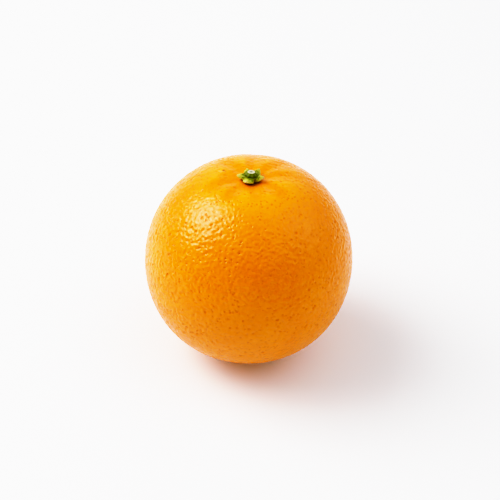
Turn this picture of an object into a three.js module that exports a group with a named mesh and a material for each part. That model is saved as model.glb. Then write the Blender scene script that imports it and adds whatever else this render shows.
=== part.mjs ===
// A whole sweet orange, as picked: a round fruit with a dimpled peel, the green five-lobed calyx in the dip
// at its stem end, and the short stub of the cut stem on the calyx. It rests on a small flat spot.
// Millimetres and degrees, +Z up, +X to the right of someone who looks along +Y at the fruit's front.
// The origin is the middle of the flat spot.

import * as THREE from "three";
import { mergeVertices } from "three/addons/utils/BufferGeometryUtils.js";

const { degToRad, euclideanModulo, lerp, seededRandom, smoothstep } = THREE.MathUtils;

// The round body, before the dip and the flat spot are taken from it
const FRUIT_WIDTH = 74;
const FRUIT_HEIGHT = 75.2;
const FLAT_SPOT_RADIUS = 7;
const SHOULDER_SWELL = 0.13; // how far the shoulders stand out of a true ellipsoid
const SHOULDER_ANGLE = 47; // from the stem end down to the fullest part of the upper shoulder
const SHOULDERS = 4; // the shoulders that an upright section shows: two at the stem end and two below

// Slow unevenness of a grown fruit: each swell is a wave through space with its own direction and phase
const SWELLS = [
  { height: 0.13, wave: [1.9, 1.1, -0.7], phase: 0.4 },
  { height: 0.1, wave: [-2.4, 1.6, 1.3], phase: 2.1 },
  { height: 0.08, wave: [0.8, -3.1, 2.2], phase: 4.0 },
];

// The stem end: a dip with a level seat for the calyx, and furrows that run out of it between low ridges
const SEAT_HEIGHT = 72;
const SEAT_RADIUS = 3.5;
const DIP_REACH = 9.5;
const FURROW_START = 4.5;
const FURROW_EASE = 2; // each furrow comes to its depth over this much before and after its start
const FURROW_FULL_SHARE = 0.4; // share of a furrow's reach that keeps the full depth
const FURROW_WIDTH = 1.5; // half width near the calyx; it grows with the distance from it
const FURROW_SPREAD = 0.08;
const FURROWS = [
  { azimuth: 14, depth: 0.9, reach: 22 },
  { azimuth: 46, depth: 0.95, reach: 27 },
  { azimuth: 85, depth: 0.9, reach: 29 },
  { azimuth: 131, depth: 0.75, reach: 22 },
  { azimuth: 167, depth: 0.5, reach: 14 },
  { azimuth: 196, depth: 0.85, reach: 20 },
  { azimuth: 233, depth: 0.75, reach: 17 },
  { azimuth: 283, depth: 0.5, reach: 15 },
  { azimuth: 325, depth: 0.7, reach: 18 },
];

// The blossom end, under the fruit: the round scar that the flower left, inside the flat spot
const SCAR_RADIUS = 1.6;
const SCAR_DEPTH = 0.5;

// Oil-gland dimples in the peel
const PEEL_DIVISIONS = 21; // facets along each edge of the icosahedron that the peel is divided from
const PEEL_CROWDING = 0.18; // share by which the facets are finer at the stem end and coarser below
const DIMPLE_DEPTH = { least: 0.3, most: 0.6 };
const DIMPLE_FADE = 3.5; // dimples start this far outside the seat and the flat spot, and grow to full depth
const FACET_DRIFT = 0.28; // sideways wander of the peel's points
const PEEL_SEED = 7;

// The calyx
const LOBES = [
  { azimuth: 44, reach: 4.8, lift: 0.9 },
  { azimuth: 110, reach: 4.7, lift: 0.8 },
  { azimuth: 185, reach: 5.0, lift: 0.9 },
  { azimuth: 248, reach: 5.3, lift: 0.75 },
  { azimuth: 338, reach: 5.1, lift: 1.15 },
];
const NOTCH_RADIUS = 3.6; // from the middle to the bottom of the gap between two lobes
const LOBE_POINT = 1.35; // over 1 draws the lobes out to points
const CALYX_FOOT_RADIUS = 2.5; // the disc by which it is joined to the fruit
const BOSS_RADIUS = 2.5; // the level middle that carries the stem stub
const BOSS_HEIGHT = 1.3;
const LOBE_EDGE_THICKNESS = 0.6;
const NOTCH_LIFT = 0.85; // how far the underside has risen at the bottom of a notch
const LOBE_CURL = 0.8; // under 1 makes the lobes rise from the peel steeply at first and then less
const CALYX_SPOKES = 70;
const CALYX_RINGS = 6;
const BOSS_RINGS = 2;

// The stem stub
const STUB_HEIGHT = 1.5;
const STUB_RADIUS = { foot: 2.3, top: 1.55 };
const STUB_FLARE = 1.5; // over 1 keeps the stub slim until it flares out into its foot
const STUB_CUT_TILT = 5; // the cut face leans back by this much
const STUB_WAVES = [
  { share: 0.04, count: 2, phase: 0.6 },
  { share: 0.03, count: 3, phase: 2 },
]; // each makes the stub out of round by a share of its radius, so many times on the way round it
const STUB_SPOKES = 28;
const STUB_RINGS = 5;

const TINY = 1e-6; // below this a length or a share counts as nothing

const halfWidth = FRUIT_WIDTH / 2;
const halfHeight = FRUIT_HEIGHT / 2;
const flatSpotDepth = halfHeight * (1 - Math.sqrt(1 - (FLAT_SPOT_RADIUS / halfWidth) ** 2));
const centreHeight = halfHeight - flatSpotDepth;
const dipDepth = centreHeight + halfHeight - SEAT_HEIGHT;

// 1 in the middle of a bell curve, falling away from it on both sides
function bell(distance, width) {
  return Math.exp(-((distance / width) ** 2));
}

// The signed turn from one azimuth to another, from -180 to 180 degrees
function turnBetween(from, to) {
  return euclideanModulo(to - from + 180, 360) - 180;
}

// How deep one furrow is at a distance along the peel from the stem end, and at an azimuth
function furrowDepth(furrow, distance, azimuth) {
  const along =
    smoothstep(distance, FURROW_START - FURROW_EASE, FURROW_START + FURROW_EASE) *
    (1 - smoothstep(distance, FURROW_FULL_SHARE * furrow.reach, furrow.reach));
  const sideways = degToRad(turnBetween(furrow.azimuth, azimuth)) * distance;
  return furrow.depth * along * bell(sideways, FURROW_WIDTH + FURROW_SPREAD * distance);
}

// The smooth peel's distance from the fruit's centre in a direction, with the dip and furrows but no dimples
function peelRadius(direction) {
  const polar = Math.acos(THREE.MathUtils.clamp(direction.z, -1, 1));
  const azimuth = THREE.MathUtils.radToDeg(Math.atan2(direction.y, direction.x));
  const fromStem = polar * halfWidth;
  const flat = Math.hypot(direction.x, direction.y) / halfWidth;
  let radius = 1 / Math.hypot(flat, direction.z / halfHeight);
  radius += SHOULDER_SWELL * Math.cos(SHOULDERS * (polar - degToRad(SHOULDER_ANGLE)));
  for (const swell of SWELLS) {
    const along = new THREE.Vector3(...swell.wave).dot(direction);
    radius += swell.height * Math.sin(along + swell.phase);
  }
  radius -= dipDepth * bell(fromStem, DIP_REACH);
  for (const furrow of FURROWS) radius -= furrowDepth(furrow, fromStem, azimuth);
  return radius;
}

// A unit direction moved towards the stem end, so that the peel's facets are finest there
function crowdedTowardsStem(direction) {
  const polar = Math.acos(THREE.MathUtils.clamp(direction.z, -1, 1));
  const crowded = polar - PEEL_CROWDING * Math.sin(polar);
  const spread = Math.sin(crowded) / Math.max(Math.sin(polar), TINY);
  return new THREE.Vector3(direction.x * spread, direction.y * spread, Math.cos(crowded));
}

// The neighbours of each point of an indexed triangle mesh
function neighboursOf(geometry) {
  const neighbours = Array.from({ length: geometry.attributes.position.count }, () => new Set());
  const index = geometry.index.array;
  for (let corner = 0; corner < index.length; corner += 3) {
    const triangle = index.slice(corner, corner + 3);
    for (const one of triangle) for (const other of triangle) if (one !== other) neighbours[one].add(other);
  }
  return neighbours;
}

// Picks points for dimples in random order, and never two that touch. Gives each one's depth, and 0 elsewhere
function dimpleDepths(neighbours) {
  const depths = new Array(neighbours.length).fill(0);
  const order = neighbours.map((_, point) => ({ point, draw: seededRandom() }));
  order.sort((one, other) => one.draw - other.draw);
  for (const { point } of order) {
    if ([...neighbours[point]].some((other) => depths[other] > 0)) continue;
    depths[point] = lerp(DIMPLE_DEPTH.least, DIMPLE_DEPTH.most, seededRandom());
  }
  return depths;
}

// Puts one point of the peel in place: on the smooth form, drifted sideways, pressed in if it is a dimple,
// and level in the seat and the flat spot
function peelPoint(direction, dimpleDepth) {
  const drift = () => (FACET_DRIFT * (2 * seededRandom() - 1)) / halfWidth;
  const drifted = direction.clone().add(new THREE.Vector3(drift(), drift(), drift())).normalize();
  const fromAxis = Math.hypot(drifted.x, drifted.y) * halfWidth;
  const levelRadius = drifted.z > 0 ? SEAT_RADIUS : FLAT_SPOT_RADIUS;
  const shown = smoothstep(fromAxis, levelRadius, levelRadius + DIMPLE_FADE);
  const point = drifted.clone().multiplyScalar(peelRadius(drifted) - shown * dimpleDepth);
  point.z += centreHeight;
  if (drifted.z > 0 && fromAxis < SEAT_RADIUS) point.z = SEAT_HEIGHT;
  if (drifted.z < 0) point.z = Math.max(point.z, 0);
  return point;
}

// Presses the blossom scar into the middle of the flat spot. Its rim stays level with the spot
function pressScar(points) {
  const middle = points.filter((point) => point.z === 0 && Math.hypot(point.x, point.y) < SCAR_RADIUS);
  for (const point of middle) point.z = SCAR_DEPTH;
}

// An indexed geometry with its points in place and faces pointing out
function solidGeometry(points, index) {
  const positions = points.flatMap((point) => point.toArray());
  const geometry = new THREE.BufferGeometry();
  geometry.setAttribute("position", new THREE.Float32BufferAttribute(positions, 3));
  geometry.setIndex(index);
  geometry.computeVertexNormals();
  return geometry;
}

function fruitGeometry() {
  const ball = new THREE.IcosahedronGeometry(1, PEEL_DIVISIONS - 1);
  ball.deleteAttribute("normal");
  ball.deleteAttribute("uv");
  const base = mergeVertices(ball);
  seededRandom(PEEL_SEED);
  const depths = dimpleDepths(neighboursOf(base));
  const points = depths.map((depth, point) => {
    const direction = new THREE.Vector3().fromBufferAttribute(base.attributes.position, point);
    return peelPoint(crowdedTowardsStem(direction.normalize()), depth);
  });
  pressScar(points);
  return solidGeometry(points, [...base.index.array]);
}

// A round solid made of spokes and rings: top and underside are given as functions of spoke azimuth and of
// the share of the way out to the edge, and each edge is a short upright wall
function spokedGeometry(spokes, rings, top, underside) {
  const points = [top(0, 0), underside(0, 0)];
  for (let ring = 1; ring <= rings; ring++) {
    for (let spoke = 0; spoke < spokes; spoke++) {
      const azimuth = (360 * spoke) / spokes;
      points.push(top(azimuth, ring / rings), underside(azimuth, ring / rings));
    }
  }
  const at = (ring, spoke, side) => (ring ? 2 * ((ring - 1) * spokes + (spoke % spokes) + 1) : 0) + side;
  const index = [];
  for (let spoke = 0; spoke < spokes; spoke++) {
    index.push(0, at(1, spoke, 0), at(1, spoke + 1, 0));
    index.push(1, at(1, spoke + 1, 1), at(1, spoke, 1));
    for (let ring = 1; ring < rings; ring++) {
      const [a, b] = [at(ring, spoke, 0), at(ring, spoke + 1, 0)];
      const [c, d] = [at(ring + 1, spoke, 0), at(ring + 1, spoke + 1, 0)];
      index.push(a, c, d, a, d, b);
      index.push(a + 1, d + 1, c + 1, a + 1, b + 1, d + 1);
    }
    const [a, b] = [at(rings, spoke, 0), at(rings, spoke + 1, 0)];
    index.push(a, a + 1, b + 1, a, b + 1, b);
  }
  return solidGeometry(points, index);
}

function pointAt(azimuth, radius, height) {
  const turn = degToRad(azimuth);
  return new THREE.Vector3(radius * Math.cos(turn), radius * Math.sin(turn), height);
}

// The two lobes on either side of an azimuth, and the share of the way from the nearer tip to the notch
function lobeAt(azimuth) {
  const turns = LOBES.map((lobe) => ({ lobe, turn: turnBetween(lobe.azimuth, azimuth) }));
  const before = turns.reduce((best, one) =>
    euclideanModulo(one.turn, 360) < euclideanModulo(best.turn, 360) ? one : best,
  );
  const after = turns.reduce((best, one) =>
    euclideanModulo(-one.turn, 360) < euclideanModulo(-best.turn, 360) ? one : best,
  );
  const sinceTip = euclideanModulo(before.turn, 360);
  const gap = sinceTip + euclideanModulo(-after.turn, 360);
  const share = gap > TINY ? sinceTip / gap : 0;
  const nearer = share < 0.5 ? before.lobe : after.lobe;
  return { nearer, toNotch: 2 * Math.min(share, 1 - share) };
}

// The radius of the calyx's edge at an azimuth
function calyxEdge(azimuth) {
  const { nearer, toNotch } = lobeAt(azimuth);
  return lerp(NOTCH_RADIUS, nearer.reach, (1 - toNotch) ** LOBE_POINT);
}

// The radius of a calyx ring: the rings within the boss are round, and the ones beyond it follow the lobes
function calyxRadius(azimuth, out) {
  const bossShare = BOSS_RINGS / CALYX_RINGS;
  if (out <= bossShare) return (BOSS_RADIUS * out) / bossShare;
  return lerp(BOSS_RADIUS, calyxEdge(azimuth), (out - bossShare) / (1 - bossShare));
}

// The height of the calyx's underside above its seat: level on the foot, then rising with the lobes
function calyxUnderside(azimuth, radius) {
  if (radius <= CALYX_FOOT_RADIUS) return 0;
  const { nearer, toNotch } = lobeAt(azimuth);
  const rise = (radius - CALYX_FOOT_RADIUS) / (nearer.reach - CALYX_FOOT_RADIUS);
  return lerp(nearer.lift, NOTCH_LIFT, toNotch) * rise ** LOBE_CURL;
}

function calyxGeometry() {
  const underside = (azimuth, out) => {
    const radius = calyxRadius(azimuth, out);
    return pointAt(azimuth, radius, calyxUnderside(azimuth, radius));
  };
  const top = (azimuth, out) => {
    const radius = calyxRadius(azimuth, out);
    if (radius <= BOSS_RADIUS + TINY) return pointAt(azimuth, radius, BOSS_HEIGHT);
    const onLobe = (radius - BOSS_RADIUS) / (calyxEdge(azimuth) - BOSS_RADIUS);
    const thickness = lerp(BOSS_HEIGHT, LOBE_EDGE_THICKNESS, onLobe);
    return pointAt(azimuth, radius, calyxUnderside(azimuth, radius) + thickness);
  };
  return spokedGeometry(CALYX_SPOKES, CALYX_RINGS, top, underside);
}

// The stub's radius at a share of its height, slightly out of round
function stubRadius(azimuth, up) {
  const turn = degToRad(azimuth);
  const round = lerp(STUB_RADIUS.top, STUB_RADIUS.foot, (1 - up) ** STUB_FLARE);
  const waves = STUB_WAVES.map(({ share, count, phase }) => share * Math.cos(count * turn + phase));
  return waves.reduce((radius, wave) => radius + wave * round, round);
}

// The stub as a stack of rings from its level foot to its tilted cut face
function stubGeometry() {
  const tilt = Math.tan(degToRad(STUB_CUT_TILT));
  const points = [];
  for (let ring = 0; ring <= STUB_RINGS; ring++) {
    const up = ring / STUB_RINGS;
    for (let spoke = 0; spoke < STUB_SPOKES; spoke++) {
      const azimuth = (360 * spoke) / STUB_SPOKES;
      const point = pointAt(azimuth, stubRadius(azimuth, up), up * STUB_HEIGHT);
      point.z -= up * tilt * point.y;
      points.push(point);
    }
  }
  const last = STUB_RINGS * STUB_SPOKES;
  const foot = points.push(new THREE.Vector3(0, 0, 0)) - 1;
  const cut = points.push(new THREE.Vector3(0, 0, STUB_HEIGHT)) - 1;
  const index = [];
  for (let spoke = 0; spoke < STUB_SPOKES; spoke++) {
    const next = (spoke + 1) % STUB_SPOKES;
    index.push(foot, next, spoke);
    index.push(cut, last + spoke, last + next);
    for (let ring = 0; ring < last; ring += STUB_SPOKES) {
      const above = ring + STUB_SPOKES;
      index.push(ring + spoke, ring + next, above + next);
      index.push(ring + spoke, above + next, above + spoke);
    }
  }
  return solidGeometry(points, index);
}

function namedMesh(name, geometry, color, roughness) {
  const material = new THREE.MeshStandardMaterial({ color, roughness, metalness: 0 });
  const mesh = new THREE.Mesh(geometry, material);
  mesh.name = name;
  return mesh;
}

const orange = new THREE.Group();
orange.name = "orange";
const fruit = namedMesh("fruit", fruitGeometry(), "#f08c0a", 0.4);
const calyx = namedMesh("calyx", calyxGeometry(), "#9bb03a", 0.6);
const stemStub = namedMesh("stem_stub", stubGeometry(), "#4e6120", 0.7);
calyx.position.z = SEAT_HEIGHT;
stemStub.position.z = SEAT_HEIGHT + BOSS_HEIGHT;
orange.add(fruit, calyx, stemStub);

export default orange;
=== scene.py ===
"""A whole sweet orange in soft studio light: its pitted peel, the green calyx and the cut stem stub.

Three pieces stand for the three solids of the frame, with the fine form and the finish of the real fruit.
Blender's own lengths are metres. Sizes of the fruit are written in millimetres, and MM turns them to metres.
+Z is up, +Y looks away from the camera, and the orange rests on its blossom end at the origin.
"""

import logging
import math
from dataclasses import astuple, dataclass
from enum import Enum
from itertools import combinations

import bpy
import numpy as np
from mathutils import Matrix, Vector


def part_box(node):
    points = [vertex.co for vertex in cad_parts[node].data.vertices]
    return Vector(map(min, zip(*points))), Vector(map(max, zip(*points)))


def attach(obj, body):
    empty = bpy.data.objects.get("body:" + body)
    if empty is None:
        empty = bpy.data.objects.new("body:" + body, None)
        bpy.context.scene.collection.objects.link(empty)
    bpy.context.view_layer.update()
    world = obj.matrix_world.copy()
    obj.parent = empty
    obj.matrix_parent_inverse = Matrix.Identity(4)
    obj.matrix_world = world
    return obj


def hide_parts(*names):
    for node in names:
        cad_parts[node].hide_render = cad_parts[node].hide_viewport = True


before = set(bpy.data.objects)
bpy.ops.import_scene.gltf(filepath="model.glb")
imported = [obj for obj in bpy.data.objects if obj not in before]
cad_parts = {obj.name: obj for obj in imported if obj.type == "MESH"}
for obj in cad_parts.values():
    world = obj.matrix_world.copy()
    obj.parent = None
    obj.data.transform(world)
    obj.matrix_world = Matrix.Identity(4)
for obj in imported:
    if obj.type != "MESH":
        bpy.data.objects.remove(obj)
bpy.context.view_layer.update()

MM = 0.001
FULL_TURN = 360.0
MIX_FIRST = 6  # the colour inputs and the colour output of a Mix node, which share their names with others
MIX_SECOND = 7
MIX_RESULT = 2

Tree = bpy.types.NodeTree
Socket = bpy.types.NodeSocket
Ramp = tuple[tuple[float, str], ...]  # places from 0 to 1, each with its sRGB colour

log = logging.getLogger("orange")


class Part(Enum):
    """The solids of the frame that the pieces here stand for."""

    FRUIT = "fruit"
    CALYX = "calyx"
    STEM_STUB = "stem_stub"


class Slot(Enum):
    """The material slots of the record."""

    PEEL = "peel"
    CALYX = "calyx"
    STEM = "stem"


class Layer(Enum):
    """The values from 0 to 1 painted on the points of the pieces, for their materials and relief to read."""

    PITTED = "pitted"  # how much of the relief the peel takes
    # painted shade in the furrows
    CREASE_SHADE = "crease_shade"
    # painted highlight on the ridges between the furrows
    RIDGE_HIGHLIGHT = "ridge_highlight"
    # painted shade under the calyx's lobes
    CREVICE_SHADE = "crevice_shade"
    SCAR = "scar"
    OUT = "out"  # from the middle of the calyx to the tips of its lobes
    DRY = "dry"
    # paler ribs, with painted shade darkening the bark towards the stub's foot
    RIB = "rib"
    ACROSS = "across"  # from the pith of the cut face to the bark


def linear(colour: str) -> tuple[float, float, float, float]:
    """Turns an sRGB colour to the linear one that Blender works in.

    Args:
        colour: A hash and six hex digits.

    Returns:
        Red, green, blue and an alpha of 1.
    """
    shares = [int(colour[at : at + 2], 16) / 255 for at in (1, 3, 5)]
    red, green, blue = (s / 12.92 if s <= 0.04045 else ((s + 0.055) / 1.055) ** 2.4 for s in shares)
    return red, green, blue, 1.0


def per_size(size_mm: float) -> float:
    """The scale of a pattern, in patterns to the metre, whose features are this many millimetres across."""
    return 1.0 / (size_mm * MM)


def bell(distance: np.ndarray | float, width: np.ndarray | float) -> np.ndarray:
    """1 in the middle of a bell curve, falling away on both sides over the width."""
    return np.exp(-((distance / width) ** 2))


def smoothstep(low: float, high: np.ndarray | float, value: np.ndarray | float) -> np.ndarray:
    """0 below low, 1 above high, and a smooth rise between them."""
    share = np.clip((value - low) / (high - low), 0.0, 1.0)
    return share * share * (3.0 - 2.0 * share)


def mix(first: np.ndarray | float, second: np.ndarray | float, share: np.ndarray | float) -> np.ndarray:
    """The value that lies this share of the way from the first to the second."""
    return first + (second - first) * share


def unit(vectors: np.ndarray) -> np.ndarray:
    """The same directions with length 1."""
    return vectors / np.linalg.norm(vectors, axis=-1, keepdims=True)


def turned_from(azimuth: float, directions: np.ndarray) -> np.ndarray:
    """How far each direction is turned from an azimuth, in degrees to either side."""
    turn = np.degrees(np.arctan2(directions[:, 1], directions[:, 0])) - azimuth
    return (turn + FULL_TURN / 2) % FULL_TURN - FULL_TURN / 2


def toward(azimuth: float, elevation: float) -> Vector:
    """The direction with this azimuth and elevation, in degrees."""
    turn, lean = math.radians(azimuth), math.radians(elevation)
    return Vector((math.cos(lean) * math.cos(turn), math.cos(lean) * math.sin(turn), math.sin(lean)))


def add_node(
    tree: Tree, kind: str, inputs: dict[str | int, object] | None = None, **properties: object
) -> bpy.types.Node:
    """Adds a node with its settings and links.

    Args:
        tree: The node tree that it goes in.
        kind: The node's type in Blender.
        inputs: A value or another node's output for each input, by the input's name or number.
        properties: The node's own properties.

    Returns:
        The new node.
    """
    node = tree.nodes.new(kind)
    for name, value in properties.items():
        setattr(node, name, value)
    for name, value in (inputs or {}).items():
        if isinstance(value, Socket):
            tree.links.new(value, node.inputs[name])
        else:
            node.inputs[name].default_value = value
    return node


def read_layer(tree: Tree, layer: Layer) -> Socket:
    """Reads a painted layer of the piece."""
    return add_node(tree, "ShaderNodeAttribute", attribute_name=layer.value).outputs["Fac"]


def read_place(tree: Tree) -> Socket:
    """Reads the place on the piece, in metres."""
    return add_node(tree, "ShaderNodeTexCoord").outputs["Object"]


def noise(tree: Tree, place: Socket, size_mm: float, detail: float) -> Socket:
    """Adds noise from 0 to 1 whose features are this many millimetres across."""
    inputs = {"Scale": per_size(size_mm), "Detail": detail, "Vector": place}
    return add_node(tree, "ShaderNodeTexNoise", inputs).outputs["Fac"]


def calculate(tree: Tree, operation: str, *values: Socket | float, clamp: bool = False) -> Socket:
    """Adds a calculation on outputs and numbers, held between 0 and 1 where clamp says so."""
    inputs = dict(enumerate(values))
    return add_node(tree, "ShaderNodeMath", inputs, operation=operation, use_clamp=clamp).outputs[0]


def vector_math(tree: Tree, operation: str, *values: object, result: str = "Vector") -> Socket:
    """Adds a calculation on outputs and vectors."""
    inputs = dict(enumerate(values))
    return add_node(tree, "ShaderNodeVectorMath", inputs, operation=operation).outputs[result]


def about_zero(tree: Tree, value: Socket, width: float) -> Socket:
    """Spreads a value from 0 to 1 over this width, as far below zero as above it."""
    return calculate(tree, "MULTIPLY_ADD", value, width, -width / 2)


def change_range(
    tree: Tree,
    value: Socket,
    before: tuple[float, float],
    after: tuple[float, float] = (0.0, 1.0),
    kind: str = "LINEAR",
) -> Socket:
    """Adds a change from one range of values to another, held at both ends.

    Args:
        tree: The node tree.
        value: The value to change.
        before: The range that it comes in.
        after: What the ends of that range become.
        kind: Blender's name for the way between them.

    Returns:
        The changed value.
    """
    inputs = {"Value": value, "From Min": before[0], "From Max": before[1]}
    inputs |= {"To Min": after[0], "To Max": after[1]}
    return add_node(tree, "ShaderNodeMapRange", inputs, interpolation_type=kind).outputs["Result"]


def blend(tree: Tree, share: Socket, first: Socket | str, second: Socket | str) -> Socket:
    """Adds a blend of two colours, each of them an output or an sRGB colour."""
    first, second = (linear(colour) if isinstance(colour, str) else colour for colour in (first, second))
    inputs = {"Factor": share, MIX_FIRST: first, MIX_SECOND: second}
    return add_node(tree, "ShaderNodeMix", inputs, data_type="RGBA").outputs[MIX_RESULT]


def shade(tree: Tree, share: Socket, ramp: Ramp) -> Socket:
    """Adds a colour ramp.

    Args:
        tree: The node tree.
        share: The place on the ramp, from 0 to 1.
        ramp: The ramp's places and colours.

    Returns:
        The colour at that place.
    """
    node = add_node(tree, "ShaderNodeValToRGB", {"Fac": share})
    elements = node.color_ramp.elements
    while len(elements) < len(ramp):
        elements.new(1.0)
    for element, (position, colour) in zip(elements, ramp):
        element.position = position
        element.color = linear(colour)
    return node.outputs["Color"]


def bump(tree: Tree, height: Socket, height_mm: float, over: Socket | None = None) -> Socket:
    """Adds relief to the shading, this high where the height is 1, over another relief if there is one."""
    inputs = {"Strength": 1.0, "Distance": height_mm * MM, "Height": height}
    below = {} if over is None else {"Normal": over}
    return add_node(tree, "ShaderNodeBump", inputs | below).outputs["Normal"]


def empty_material(name: str) -> tuple[bpy.types.Material, Tree]:
    """Makes a material with an empty node tree.

    Args:
        name: The material's name.

    Returns:
        The material and its tree.
    """
    material = bpy.data.materials.new(name)
    material.use_nodes = True
    material.node_tree.nodes.clear()
    return material, material.node_tree


def show_surface(tree: Tree, inputs: dict[str, object]) -> None:
    """Adds a shader with these inputs and makes it the surface of its material."""
    shader = add_node(tree, "ShaderNodeBsdfPrincipled", inputs)
    add_node(tree, "ShaderNodeOutputMaterial", {"Surface": shader.outputs[0]})


def add_piece(
    name: str,
    points_mm: np.ndarray,
    faces: list[tuple[int, ...]],
    part: Part,
    materials: list[bpy.types.Material],
) -> bpy.types.Object:
    """Makes a smooth mesh piece that rides on the fruit's body and stands for a solid of the frame.

    Args:
        name: The piece's name.
        points_mm: Its points in the frame, in millimetres.
        faces: The points of each face, counterclockwise from outside.
        part: The solid that it stands for.
        materials: Its materials. Every face starts with the first.

    Returns:
        The piece.
    """
    mesh = bpy.data.meshes.new(name)
    mesh.from_pydata((points_mm * MM).tolist(), [], faces)
    mesh.validate()
    mesh.shade_smooth()
    for material in materials:
        mesh.materials.append(material)
    piece = bpy.data.objects.new(name, mesh)
    bpy.context.scene.collection.objects.link(piece)
    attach(piece, "root")
    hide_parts(part.value)
    return piece


def paint(piece: bpy.types.Object, layers: dict[Layer, np.ndarray]) -> None:
    """Stores a value for each point of a piece, for its material to read.

    Args:
        piece: The piece.
        layers: The values of each layer.
    """
    for layer, values in layers.items():
        attribute = piece.data.attributes.new(layer.value, "FLOAT", "POINT")
        attribute.data.foreach_set("value", np.asarray(values, np.float32).ravel())


@dataclass(frozen=True)
class Pattern:
    """The peel relief's outputs: pits and pores, each from 0 to 1, and the depth in millimetres."""

    pit: Socket
    pore: Socket
    depth: Socket


@dataclass(frozen=True)
class PeelRelief:
    """The peel's own relief over its oil glands, in millimetres.

    The same pattern is pressed into the mesh and, at its full fineness, into the shading, so both agree.
    """

    wander_mm: float = 2.6
    wander_reach_mm: float = 1.3
    unevenness: float = 0.8
    pit_spacing_mm: float = 1.5
    pit_radii: tuple[float, float] = (0.1, 0.36)  # of the floor and of the edge, as shares of the spacing
    pit_depth_mm: float = 0.17
    smooth_patch_mm: float = 7.0
    smooth_range: tuple[float, float] = (0.35, 0.65)  # of the noise, from the shallowest pits to the deepest
    smooth_least: float = 0.45
    pore_spacing_mm: float = 3.1
    pore_radii: tuple[float, float] = (0.04, 0.2)
    pore_depth_mm: float = 0.14
    wave_mm: float = 1.15
    wave_height_mm: float = 0.235
    grain_mm: float = 0.34
    grain_height_mm: float = 0.012

    def add(self, tree: Tree, place: Socket) -> Pattern:
        """Adds the pattern's nodes to a material or to a geometry tree.

        Args:
            tree: The tree.
            place: The place on the fruit.

        Returns:
            The pattern's outputs.
        """
        drift = {"Scale": per_size(self.wander_mm), "Detail": 1.0, "Vector": place}
        drift = add_node(tree, "ShaderNodeTexNoise", drift).outputs["Color"]
        reach = self.wander_reach_mm * MM
        drift = vector_math(tree, "MULTIPLY_ADD", drift, (reach,) * 3, (-reach / 2,) * 3)
        wandered = vector_math(tree, "ADD", place, drift)
        pit = self._hollows(tree, wandered, self.pit_spacing_mm, self.pit_radii)
        pore = self._hollows(tree, wandered, self.pore_spacing_mm, self.pore_radii)
        patches = noise(tree, place, self.smooth_patch_mm, detail=1.0)
        depths = (self.smooth_least * self.pit_depth_mm, self.pit_depth_mm)
        pit_depth = change_range(tree, patches, self.smooth_range, depths)
        depth = calculate(tree, "MULTIPLY", noise(tree, place, self.wave_mm, detail=0.0), self.wave_height_mm)
        depth = calculate(tree, "MULTIPLY_ADD", pit, pit_depth, depth)
        depth = calculate(tree, "MULTIPLY_ADD", pore, self.pore_depth_mm, depth)
        return Pattern(pit, pore, depth)

    def _hollows(self, tree: Tree, place: Socket, spacing_mm: float, radii: tuple[float, float]) -> Socket:
        """Adds scattered round hollows: 1 on their floors and 0 beyond their edges.

        Args:
            tree: The tree.
            place: The place on the fruit.
            spacing_mm: The mean distance between hollows.
            radii: The radii of the floor and of the edge, as shares of the spacing.

        Returns:
            The output.
        """
        cells = {"Scale": per_size(spacing_mm), "Randomness": self.unevenness, "Vector": place}
        distance = add_node(tree, "ShaderNodeTexVoronoi", cells).outputs["Distance"]
        return change_range(tree, distance, radii, (1.0, 0.0), "SMOOTHSTEP")

    def press(self, piece: bpy.types.Object) -> None:
        """Presses the relief into a piece's mesh.

        Args:
            piece: The piece, whose layer PITTED says how much of the relief each point takes.
        """
        tree = bpy.data.node_groups.new("peel_relief", "GeometryNodeTree")
        for side in ("INPUT", "OUTPUT"):
            tree.interface.new_socket("Geometry", in_out=side, socket_type="NodeSocketGeometry")
        source = add_node(tree, "NodeGroupInput").outputs[0]
        place = add_node(tree, "GeometryNodeInputPosition").outputs[0]
        normal = add_node(tree, "GeometryNodeInputNormal").outputs[0]
        layer = {"Name": Layer.PITTED.value}
        pitted = add_node(tree, "GeometryNodeInputNamedAttribute", layer, data_type="FLOAT")
        depth = calculate(tree, "MULTIPLY", self.add(tree, place).depth, pitted.outputs["Attribute"])
        inward = {0: normal, "Scale": calculate(tree, "MULTIPLY", depth, -MM)}
        offset = add_node(tree, "ShaderNodeVectorMath", inward, operation="SCALE").outputs["Vector"]
        pressed = add_node(tree, "GeometryNodeSetPosition", {"Geometry": source, "Offset": offset})
        add_node(tree, "NodeGroupOutput", {0: pressed.outputs[0]})
        piece.modifiers.new("peel_relief", "NODES").node_group = tree
        evaluated = piece.evaluated_get(bpy.context.evaluated_depsgraph_get())
        pressed_mesh = bpy.data.meshes.new_from_object(evaluated)
        piece.modifiers.clear()
        piece.data = pressed_mesh


@dataclass(frozen=True)
class Scratch:
    """One spot of a healed prick in the peel, in millimetres: the dark dot, or a painted highlight on the
    swelling beside it.
    """

    place: tuple[float, float, float]
    radius: float
    colour: str
    core_share: float = 0.3  # of the radius, over which the colour is at its full strength
    strength: float = 0.9

    def mark(self, tree: Tree, place: Socket) -> Socket:
        """Adds how strongly the spot colours each place.

        Args:
            tree: The material's tree.
            place: The place on the fruit.

        Returns:
            The share of the spot's colour.
        """
        spot = tuple(value * MM for value in self.place)
        away = vector_math(tree, "DISTANCE", place, spot, result="Value")
        radii = (self.core_share * self.radius * MM, self.radius * MM)
        return change_range(tree, away, radii, (self.strength, 0.0))


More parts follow.
